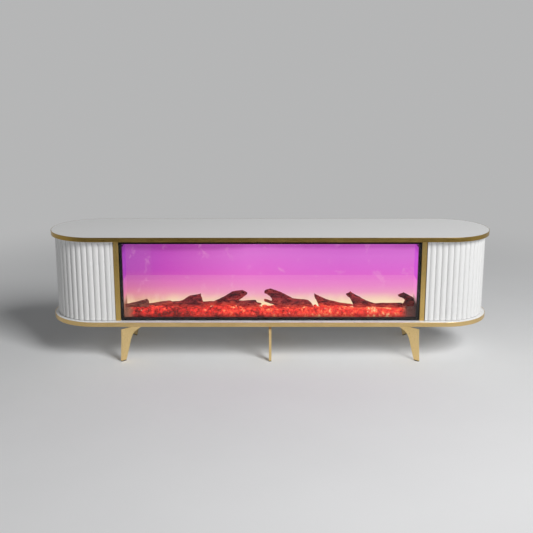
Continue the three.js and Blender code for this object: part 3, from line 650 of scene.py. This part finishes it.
def fluted_mesh(name, sign, start_x, end_run_cut, stile, low, high, centre_x, radius, y_sign, round_end):
    """A fluted wall in plan from the post round to the tip, raised from low to high."""
    root = radius - REED_DEPTH
    inner = radius - WALL
    straight = centre_x - start_x
    whole = straight + root * math.pi / 2

    def at(run, distance):
        if run <= straight:
            return (start_x + run, -distance)
        angle = (run - straight) / root - math.pi / 2
        return (centre_x + distance * math.cos(angle), distance * math.sin(angle))

    end = whole - end_run_cut
    points = [at(0, inner)]
    first = 0.0
    if stile:
        points += [at(0, radius - STILE_RECESS), at(stile, radius - STILE_RECESS)]
        first = stile
    points.append(at(first, root))
    count = round((end - first) / REED_PITCH)
    pitch = (end - first) / count
    for reed in range(count):
        for step in range(REED_STEPS + 1):
            share = ROOT_WIDTH / 2 + (1 - ROOT_WIDTH) * (1 - math.cos(math.pi * step / REED_STEPS)) / 2
            across = (share - 0.5) / (0.5 - ROOT_WIDTH / 2)
            height = REED_DEPTH * math.sqrt(max(0.0, 1 - across * across))
            points.append(at(first + (reed + share) * pitch, root + height))
    if round_end:
        points.append(at(end, radius))
        pivot_x = centre_x + radius - WALL / 2
        for step in range(TIP_STEPS + 1):
            angle = math.pi * step / TIP_STEPS
            points.append((pivot_x + WALL / 2 * math.cos(angle), WALL / 2 * math.sin(angle)))
        last = whole
    else:
        points.append(at(end, root))
        last = end
    for step in range(1 if round_end else 0, INSIDE_STEPS):
        points.append(at(last * (1 - step / INSIDE_STEPS), inner))

    bm = bmesh.new()
    loft(bm, [[bm.verts.new((sign * x, y_sign * y, z)) for x, y in points] for z in (low, high)])
    return smooth(finished(bm, name), 40)


def make_fluted_walls(look):
    for side, sign in zip(SIDES, (1, -1)):
        door = f"{side}_door"
        low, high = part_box(door)
        radius = -low.y
        inner_x = min(abs(low.x), abs(high.x))
        tip = max(abs(low.x), abs(high.x))
        centre_x = tip - radius
        mesh = fluted_mesh(
            door, sign, inner_x, HINGE_STILE, STILE, low.z, high.z, centre_x, radius, 1, True)
        made = link(f"{side}_fluted_door", mesh, door, look, [door])
        ease(made, WALL_EASE, 1, 40)

        wall = f"{side}_rear_fluted_wall"
        low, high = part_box(wall)
        start_x = min(abs(low.x), abs(high.x))
        mesh = fluted_mesh(
            wall, sign, start_x, WALL / 2 + DOOR_GAP, 0, low.z, high.z, centre_x, radius, -1, False)
        made = link(f"{side}_rear_flutes", mesh, CABINET, look, [wall])
        ease(made, WALL_EASE, 1, 40)


# Logs and coals -----------------------------------------------------

LOG_VOXEL = 0.0022
LOG_SLICE = 0.004
LOG_SPLIT = 0.0045  # a wider gap than this parts two limbs of one log
LOG_ROUNDING = 0.42  # share of its height that a limb loses at its front and back
BARK_RIDGE = 0.0022
BARK_LUMP = 0.0022
BARK_GRAIN = 0.001
BARK_SINK = 0.0006


def log_limbs(bm, low_x):
    """For each thin slice across the log, the stretches of height that its limbs take up."""
    heights = {}
    for vert in bm.verts:
        heights.setdefault(int((vert.co.x - low_x) / LOG_SLICE), []).append(vert.co.z)
    limbs = {}
    for number, zs in heights.items():
        zs.sort()
        stretches = [[zs[0], zs[0]]]
        for z in zs[1:]:
            if z - stretches[-1][1] > LOG_SPLIT:
                stretches.append([z, z])
            stretches[-1][1] = z
        limbs[number] = stretches
    return limbs


def log_mesh(node, seed):
    """The CAD log cut up finely, rounded in section and roughened with ridges of bark along it."""
    base = bpy.data.objects.new(f"{node}_base", NODES[node].data.copy())
    bpy.context.scene.collection.objects.link(base)
    remesh = base.modifiers.new("voxels", "REMESH")
    remesh.mode = "VOXEL"
    remesh.voxel_size = LOG_VOXEL
    evaluated = base.evaluated_get(bpy.context.evaluated_depsgraph_get())
    mesh = bpy.data.meshes.new_from_object(evaluated)
    bpy.data.objects.remove(base)

    low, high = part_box(node)
    middle_y = (low.y + high.y) / 2
    half = (high.y - low.y) / 2
    bm = bmesh.new()
    bm.from_mesh(mesh)
    limbs = log_limbs(bm, low.x)
    for vert in bm.verts:
        stretches = limbs[int((vert.co.x - low.x) / LOG_SLICE)]
        bottom, top = next(s for s in stretches if vert.co.z <= s[1] + 1e-6)
        middle_z = (bottom + top) / 2
        across = (vert.co.y - middle_y) / half
        vert.co.z = middle_z + (vert.co.z - middle_z) * (1 - LOG_ROUNDING * abs(across) ** 3)
    axes = {"use_axis_x": True, "use_axis_y": True, "use_axis_z": True}
    bmesh.ops.smooth_vert(bm, verts=bm.verts, factor=0.5, **axes)
    bm.normal_update()
    shift = Vector((seed * 3.1, seed * 1.7, seed * 0.9))
    for vert in bm.verts:
        place = vert.co
        bark = noise.noise(Vector((place.x * 14, place.y * 60, place.z * 60)) + shift)
        fine = noise.noise(Vector((place.x * 60, place.y * 220, place.z * 220)) + shift)
        lump = noise.noise(place * 30 + shift)
        rise = BARK_RIDGE * bark + BARK_GRAIN * fine + BARK_LUMP * lump - BARK_SINK
        vert.co = place + vert.normal * rise
    bm.to_mesh(mesh)
    bm.free()
    return smooth(mesh, 60)


LOG_COUNT = sum(1 for node in NODES if node.startswith("log_"))


def make_logs(look):
    for number in range(1, LOG_COUNT + 1):
        node = f"log_{number}"
        link(f"{node}_bark", log_mesh(node, number), CABINET, look, [node])


COAL_SPACING = 0.004
CREST_Y = -0.132  # the bank of coals in front of the logs
CREST_HALF = 0.010
COAL_COUNT = 230
COAL_MARGIN = 0.012  # the chunks keep this far from the bed's ends and its back
COAL_FRONT_MARGIN = 0.010
COAL_ROUGHNESS = 0.0014
FRONT_REACH = 0.012  # the bed's rise and swell fade out over this, towards its front edge
BED_RISE = 0.003
BED_SWELL = 0.005
CREST_SWELL = 0.012
LUMP_DEPTH = 0.008
BED_GRAIN = 0.0012


def top_profile(node):
    """The (y, z) corners of a prism's upper outline, from front to back."""
    tops = {}
    for vert in NODES[node].data.vertices:
        y = round(vert.co.y, 5)
        tops[y] = max(tops.get(y, 0.0), vert.co.z)
    return sorted(tops.items())


def along_profile(profile, y):
    for (y0, z0), (y1, z1) in zip(profile, profile[1:]):
        if y <= y1:
            return z0 + (z1 - z0) * (y - y0) / (y1 - y0)
    return profile[-1][1]


def make_coals(look):
    """The moulded bed of coals: a lumpy bank with separate chunks strewn over it."""
    low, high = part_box("ember_bed")
    profile = top_profile("ember_bed")
    columns = int((high.x - low.x) / COAL_SPACING)
    rows = int((high.y - low.y) / COAL_SPACING)

    def surface(x, y):
        lumps = noise.voronoi(Vector((x * 60, y * 60, 0)))[0][0]
        fine = noise.noise(Vector((x * 190, y * 190, 3)))
        swell = noise.noise(Vector((x * 11, y * 8, 7)))
        front = max(0.0, 1 - (y - low.y) / FRONT_REACH)
        bank = math.exp(-(((y - CREST_Y) / CREST_HALF) ** 2))
        rise = (1 - front) * (BED_SWELL * swell + BED_RISE) + bank * CREST_SWELL * swell
        return along_profile(profile, y) + rise - LUMP_DEPTH * lumps + BED_GRAIN * fine

    bm = bmesh.new()
    xs = [low.x + (high.x - low.x) * column / columns for column in range(columns + 1)]
    ys = [low.y + (high.y - low.y) * row / rows for row in range(rows + 1)]
    grid = [[bm.verts.new((x, y, surface(x, y))) for x in xs] for y in ys]
    for row in range(rows):
        for column in range(columns):
            near, far = grid[row], grid[row + 1]
            bm.faces.new((near[column], near[column + 1], far[column + 1], far[column]))
    right_edge = [line[-1] for line in grid[1:]]
    left_edge = [line[0] for line in grid[-2:0:-1]]
    rim = [*grid[0], *right_edge, *grid[-1][-2::-1], *left_edge]
    floor = [bm.verts.new((v.co.x, v.co.y, low.z)) for v in rim]
    for i in range(len(rim)):
        j = (i + 1) % len(rim)
        bm.faces.new((rim[j], rim[i], floor[i], floor[j]))
    bm.faces.new(floor)

    rng = random.Random(11)
    for _ in range(COAL_COUNT):
        x = rng.uniform(low.x + COAL_MARGIN, high.x - COAL_MARGIN)
        y = rng.uniform(low.y + COAL_FRONT_MARGIN, high.y - COAL_MARGIN)
        size = (rng.uniform(0.006, 0.013), rng.uniform(0.005, 0.009), rng.uniform(0.003, 0.006))
        spin = Matrix.Rotation(rng.uniform(0, math.pi), 4, "Z")
        tip = Matrix.Rotation(rng.uniform(-0.4, 0.4), 4, "X")
        place = Matrix.Translation((x, y, surface(x, y) + 0.001))
        matrix = place @ spin @ tip @ Matrix.Diagonal((*size, 1))
        made = bmesh.ops.create_icosphere(bm, subdivisions=2, radius=1.0, matrix=matrix)
        for vert in made["verts"]:
            vert.co += COAL_ROUGHNESS * noise.noise_vector(vert.co * 170)
    mesh = smooth(finished(bm, "coals"), 50)
    link("coals", mesh, CABINET, look, ["ember_bed"])


PANEL_GAP = 0.0004
PANEL_LAP = 0.0015  # how far a panel reaches past the flame screen's end
PANEL_RISE = 0.002
PANEL_EASE = 0.0001
CASE_SHEET = 0.0012


def make_side_panels(look):
    """A lit acrylic panel on each side wall, between the window frame and the flame screen."""
    screen_low, screen_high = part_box("flame_screen")
    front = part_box("window_frame")[1].y + PANEL_GAP
    back = screen_low.y - PANEL_GAP
    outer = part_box("firebox_case")[1].x - CASE_SHEET - PANEL_GAP
    inner = screen_high.x - PANEL_LAP
    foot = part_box("ember_bed")[0].z + PANEL_RISE
    for side, sign in zip(SIDES, (1, -1)):
        name = f"{side}_side_panel"
        points = [(outer, front), (outer, back), (inner, back), (inner, front)]
        bm = bmesh.new()
        loft(bm, [[bm.verts.new((sign * x, y, z)) for x, y in points] for z in (foot, screen_high.z)])
        ease(link(name, finished(bm, name), CABINET, look), PANEL_EASE, 1)


# Small fittings -----------------------------------------------------

SCREW_SECTORS = 32
SCREW_PROFILE = ((1.0, 0.0), (1.0, 0.45), (0.86, 0.85), (0.6, 1.0), (0.3, 1.0), (0.05, 1.0))
CROSS_REACH = 0.65  # share of the head's radius
CROSS_HALF_ANGLE = 0.25
CROSS_DEPTH = 0.6  # share of the head's height
SCREW_RADIUS = 0.004
SCREW_HEIGHT = 0.0022


def add_screw(bm, place, outward):
    """A domed screw head with a cross recess, standing on a face at the given place."""
    turn = Vector(outward).to_track_quat("Z", "Y").to_matrix().to_4x4()
    matrix = Matrix.Translation(place) @ turn
    rings = []
    for share, level in SCREW_PROFILE:
        ring = []
        for sector in range(SCREW_SECTORS):
            angle = 2 * math.pi * sector / SCREW_SECTORS
            off_arm = abs((angle + math.pi / 4) % (math.pi / 2) - math.pi / 4)
            sunk = share < CROSS_REACH and off_arm < CROSS_HALF_ANGLE
            height = SCREW_HEIGHT * (level - (CROSS_DEPTH if sunk else 0.0))
            radius = SCREW_RADIUS * share
            point = Vector((radius * math.cos(angle), radius * math.sin(angle), height))
            ring.append(bm.verts.new(matrix @ point))
        rings.append(ring)
    loft(bm, rings)


def screw_set(name, places, outward, look):
    bm = bmesh.new()
    for place in places:
        add_screw(bm, place, outward)
    link(name, smooth(finished(bm, name), 30), CABINET, look)


LEG_PLATE = 0.004
LEG_PLATE_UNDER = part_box("front_left_leg")[1].z - LEG_PLATE
CORNER_SCREWS = ((0.038, 0.082), (0.064, 0.084), (0.084, 0.038), (0.086, 0.064))  # from the leg's corner
CENTRE_SCREW_X = 0.026
CENTRE_SCREW_Y = (0.038, 0.094)


def leg_screws(look):
    """Four screws up through each leg's plate, clear of its bent wings."""
    for leg in LEGS:
        low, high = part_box(f"{leg}_leg")
        front = leg.startswith("front")
        face, inward = (low.y, 1) if front else (high.y, -1)
        if leg.endswith("centre"):
            places = [(x, y) for x in (-CENTRE_SCREW_X, CENTRE_SCREW_X) for y in CENTRE_SCREW_Y]
        elif leg.endswith("left"):
            places = [(low.x + x, y) for x, y in CORNER_SCREWS]
        else:
            places = [(high.x - x, y) for x, y in CORNER_SCREWS]
        spots = [(x, face + inward * y, LEG_PLATE_UNDER) for x, y in places]
        screw_set(f"{leg}_leg_screws", spots, (0, 0, -1), look)


BACK_SCREW_INSET = 0.010
BACK_SCREW_HEIGHTS = (0.19, 0.28, 0.39, 0.484)
BACK_SCREW_COLUMNS = 5


def back_screws(look):
    """Screws down both sides of the back panel and along its top and bottom edges."""
    low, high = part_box("back_panel")
    side = high.x - BACK_SCREW_INSET
    spots = [(x, high.y, z) for x in (-side, side) for z in BACK_SCREW_HEIGHTS]
    step = 2 * side / (BACK_SCREW_COLUMNS + 1)
    for z in (low.z + BACK_SCREW_INSET, high.z - BACK_SCREW_INSET):
        spots += [(-side + step * (i + 1), high.y, z) for i in range(BACK_SCREW_COLUMNS)]
    screw_set("back_panel_screws", spots, (0, 1, 0), look)


STRIKE_SHEET = 0.0004
STRIKE_GAP = 0.0005  # from the plate's outer face to the plunger's tip
STRIKE_HALF = 0.007
STRIKE_CORNER = 0.0015
WASHER_RADIUS = 0.0072
WASHER_BORE = 0.0044
WASHER_CLEAR = 0.0002
WASHER_STEPS = 40
WASHER_EASE = 0.0002


def rounded_square(half, corner, steps=5):
    points = []
    for quarter in range(4):
        middle = quarter * math.pi / 2 + math.pi / 4
        x = (half - corner) * (1 if math.cos(middle) > 0 else -1)
        z = (half - corner) * (1 if math.sin(middle) > 0 else -1)
        for step in range(steps + 1):
            angle = quarter * math.pi / 2 + math.pi / 2 * step / steps
            points.append((x + corner * math.cos(angle), z + corner * math.sin(angle)))
    return points


def strike_plates(look):
    """A thin steel plate on the inside of each door, where the latch plunger meets it."""
    for side in SIDES:
        plunger_low, plunger_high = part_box(f"{side}_latch_plunger")
        middle = (plunger_low + plunger_high) / 2
        face = plunger_low.y - STRIKE_GAP
        outline = rounded_square(STRIKE_HALF, STRIKE_CORNER)
        bm = bmesh.new()
        loft(bm, [
            [bm.verts.new((middle.x + x, y, middle.z + z)) for x, z in outline]
            for y in (face, face + STRIKE_SHEET)
        ])
        name = f"{side}_strike_plate"
        link(name, smooth(finished(bm, name)), f"{side}_door", look)


def door_washers(look):
    """A nylon washer above and below each door, round its pivot rod."""
    base_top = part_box("base_board")[1].z
    top_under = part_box("top_board")[0].z
    for side in SIDES:
        rod_low, rod_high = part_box(f"{side}_pivot_rod")
        door_low, door_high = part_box(f"{side}_door")
        centre = (rod_low + rod_high) / 2
        below = (base_top + WASHER_CLEAR, door_low.z)
        above = (door_high.z, top_under - WASHER_CLEAR)
        bm = bmesh.new()
        for low, high in (below, above):
            section = ((WASHER_BORE, low), (WASHER_RADIUS, low), (WASHER_RADIUS, high), (WASHER_BORE, high))
            circles = []
            for radius, z in section:
                points = ring_points(radius, z, WASHER_STEPS)
                circles.append([bm.verts.new((centre.x + x, y, z)) for x, y, z in points])
            join_rings(bm, circles + circles[:1])
        name = f"{side}_door_washers"
        ease(link(name, smooth(finished(bm, name)), f"{side}_door", look), WASHER_EASE, 1)


def add_turned(bm, profile, matrix, sectors=20):
    """A turned solid from (radius, height) corners, closed at both ends."""
    rings = []
    for radius, height in profile:
        rings.append([bm.verts.new(matrix @ Vector(point)) for point in ring_points(radius, height, sectors)])
    loft(bm, rings)


PIN_PROFILE = (
    (0.0025, 0.0), (0.0025, 0.0008), (0.0040, 0.0009), (0.0040, 0.0018), (0.0026, 0.002), (0.0026, 0.0085),
    (0.0021, 0.009),
)
PIN_PLACES = (-0.09, 0.09)
PIN_DROP = 0.0042  # from the shelf's underside down to the pin's middle
PIN_CLEAR = 0.0001


def shelf_pins(look):
    """Two collared pins in each partition, which carry the shelf's straight edge."""
    for side, sign in zip(SIDES, (1, -1)):
        partition_low, partition_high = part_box(f"{side}_partition")
        face = max(abs(partition_low.x), abs(partition_high.x))
        shelf_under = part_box(f"{side}_shelf")[0].z
        bm = bmesh.new()
        turn = Vector((sign, 0, 0)).to_track_quat("Z", "Y").to_matrix().to_4x4()
        for y in PIN_PLACES:
            place = Matrix.Translation((sign * (face + PIN_CLEAR), y, shelf_under - PIN_DROP))
            add_turned(bm, PIN_PROFILE, place @ turn)
        name = f"{side}_shelf_pins"
        link(name, smooth(finished(bm, name), 30), CABINET, look)


PLUNGER_PROFILE = (
    (0.0016, 0.0), (0.0030, 0.0002), (0.0037, 0.0010), (0.0040, 0.0022), (0.0040, 0.0060), (0.0036, 0.0064),
    (0.0036, 0.0080), (0.0040, 0.0084),
)
PLUNGER_TAIL = 0.0006


def latch_plungers(look):
    """A turned plunger with a domed tip and a groove for its spring clip."""
    for side in SIDES:
        node = f"{side}_latch_plunger"
        low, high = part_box(node)
        middle = (low + high) / 2
        length = high.y - low.y
        tail = ((0.0040, length - PLUNGER_TAIL), (0.0034, length))
        turn = Vector((0, 1, 0)).to_track_quat("Z", "X").to_matrix().to_4x4()
        bm = bmesh.new()
        add_turned(bm, PLUNGER_PROFILE + tail, Matrix.Translation((middle.x, low.y, middle.z)) @ turn, 32)
        mesh = smooth(finished(bm, node), 30)
        link(f"{node}_shape", mesh, node, look, [node])


WIRE_RADIUS = 0.0014
WIRE_SIDES = 10
WIRE_STEPS = 8  # between two of a wire's points
WIRES = {
    "inlet_wire_live": (
        (0.292, 0.099, 0.296), (0.300, 0.084, 0.276), (0.352, 0.082, 0.262), (0.412, 0.104, 0.277)),
    "inlet_wire_neutral": (
        (0.308, 0.099, 0.296), (0.314, 0.086, 0.284), (0.356, 0.088, 0.270), (0.412, 0.106, 0.286)),
    "spindle_motor_wire": (
        (0.500, 0.117, 0.262), (0.516, 0.094, 0.226), (0.556, 0.050, 0.192), (0.565, 0.009, 0.205)),
    "blower_motor_wire": (
        (0.418, 0.117, 0.348), (0.384, 0.104, 0.404), (0.268, 0.086, 0.446), (0.213, 0.058, 0.466)),
    "heater_wire": (
        (0.436, 0.117, 0.348), (0.410, 0.086, 0.424), (0.260, 0.000, 0.468), (0.173, -0.020, 0.484)),
    "lamp_wire": (
        (0.488, 0.117, 0.262), (0.494, 0.062, 0.192), (0.450, 0.004, 0.1805), (0.400, -0.034, 0.1808)),
}


def rounded_path(corners):
    """A smooth curve through the corners."""
    ends = (2 * Vector(corners[0]) - Vector(corners[1]), 2 * Vector(corners[-1]) - Vector(corners[-2]))
    knots = [ends[0], *map(Vector, corners), ends[1]]
    path = []
    for a, b, c, d in zip(knots, knots[1:], knots[2:], knots[3:]):
        for step in range(WIRE_STEPS):
            t = step / WIRE_STEPS
            path.append(0.5 * (2 * b + (c - a) * t + (2 * a - 5 * b + 4 * c - d) * t**2
                               + (3 * b - a - 3 * c + d) * t**3))
    path.append(knots[-2])
    return path


def make_wires(look):
    """Sheathed wires from the control board to the inlet, motors, heater and lamps."""
    for name, corners in WIRES.items():
        path = rounded_path(corners)
        bm = bmesh.new()
        rings = []
        for i, place in enumerate(path):
            along = path[min(i + 1, len(path) - 1)] - path[max(i - 1, 0)]
            turn = along.to_track_quat("Z", "X").to_matrix().to_4x4()
            matrix = Matrix.Translation(place) @ turn
            rings.append([bm.verts.new(matrix @ Vector(p)) for p in ring_points(WIRE_RADIUS, 0, WIRE_SIDES)])
        loft(bm, rings)
        link(name, smooth(finished(bm, name), 50), CABINET, look)


LAMP_PROFILE = ((0.0024, 0.0), (0.0024, 0.0004), (0.0021, 0.0010), (0.0014, 0.0015), (0.0006, 0.0017))
LAMP_PITCH = 0.092
LAMP_COUNT = 12
LAMP_CLEAR = 0.0001


def lamp_domes(look):
    """The clear lens on top of each lamp of the strip."""
    low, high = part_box("lamp_strip")
    bm = bmesh.new()
    for i in range(LAMP_COUNT):
        x = (i - (LAMP_COUNT - 1) / 2) * LAMP_PITCH
        place = (x, (low.y + high.y) / 2, high.z + LAMP_CLEAR)
        add_turned(bm, LAMP_PROFILE, Matrix.Translation(place), 16)
    link("lamp_domes", smooth(finished(bm, "lamp_domes"), 50), CABINET, look)


# ------------------------------------------------------------------ the whole


def main():
    make_camera()
    make_studio()

    # One white lacquer in two tones: the flutes' darker tone is painted shade, the boards' paler tone painted
    # light.
    white = lacquer_look("board_lacquer", 0.90, 0.93)
    shaded_white_flutes = lacquer_look("flute_lacquer_shaded", 0.79, 0.82)
    gold_bands = {
        "top_edge_band": gold_look("gold_top_edge_shaded", (0.02, 0.02, 1), *TOP_GOLD_SHADED),
        "base_edge_band": gold_look("gold_base_edge", (0.02, 0.02, 1), *BASE_GOLD),
    }
    gold_post = gold_look("gold_post", (1, 1, 0.02), *POST_GOLD)
    gold_leg = gold_look("gold_leg", (1, 1, 0.04), *LEG_GOLD_LIT)
    black = black_look()
    case = case_look()
    steel = steel_look()
    plastic = plastic_look("black_plastic", (0.015, 0.015, 0.016), 0.5)
    gloss = plastic_look("rocker_plastic", (0.02, 0.02, 0.021), 0.25, 0.00002)
    circuit = circuit_look()

    for board in ("top_board", "base_board"):
        refined(board, white, 0.0008, segments=3)
    for band, look in gold_bands.items():
        refined(band, look, 0.0005)
    make_fluted_walls(shaded_white_flutes)
    for side in SIDES:
        refined(f"{side}_partition", white)
        refined(f"{side}_shelf", white, 0.001)
        refined(f"{side}_post", gold_post, 0.0006)
        refined(f"{side}_latch_body", plastic, 0.0008)
        refined(f"{side}_pivot_rod", steel, 0.0003)
    refined("back_panel", white)
    for leg in LEGS:
        refined(f"{leg}_leg", gold_leg, 0.0009)
        refined(f"{leg}_glide", plastic, 0.0005)

    refined("front_glass", glass_look(), 0.0006)
    refined("heater_grille", black, 0.0006)
    refined("window_frame", black, 0.0006)
    refined("firebox_case", case, 0.0003)
    flames = flame_look("flame_acrylic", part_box("flame_screen")[1].x, (1.0, 1.0, 1.0))
    refined("flame_screen", flames, 0.0004)
    bed_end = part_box("ember_bed")[1].x
    make_coals(ember_look(bed_end))
    make_logs(bark_look(bed_end))
    make_side_panels(flame_look("side_acrylic", bed_end, (0.84, 0.52, 0.98), True))

    refined("lamp_strip", circuit, 0.0002)
    refined("control_board", circuit, 0.0003)
    refined("flame_spindle", steel, 0.0002, "flame_spindle")
    refined("blower_wheel", plastic, 0.0002, "blower_wheel")
    refined("air_duct", steel, 0.0002)
    refined("heater_element", steel, 0.0003)
    refined("spindle_bearing", plastic, 0.0008)
    refined("spindle_motor", case, 0.001)
    refined("blower_motor", case, 0.0008)
    refined("power_inlet", plastic, 0.0006)
    refined("power_rocker", gloss, 0.0008, "power_rocker")

    latch_plungers(steel)
    make_wires(plastic_look("wire_sheath", (0.03, 0.008, 0.006), 0.4))
    leg_screws(steel)
    back_screws(steel)
    strike_plates(steel)
    door_washers(plastic)
    shelf_pins(steel)
    lamp_domes(lens_look())


main()
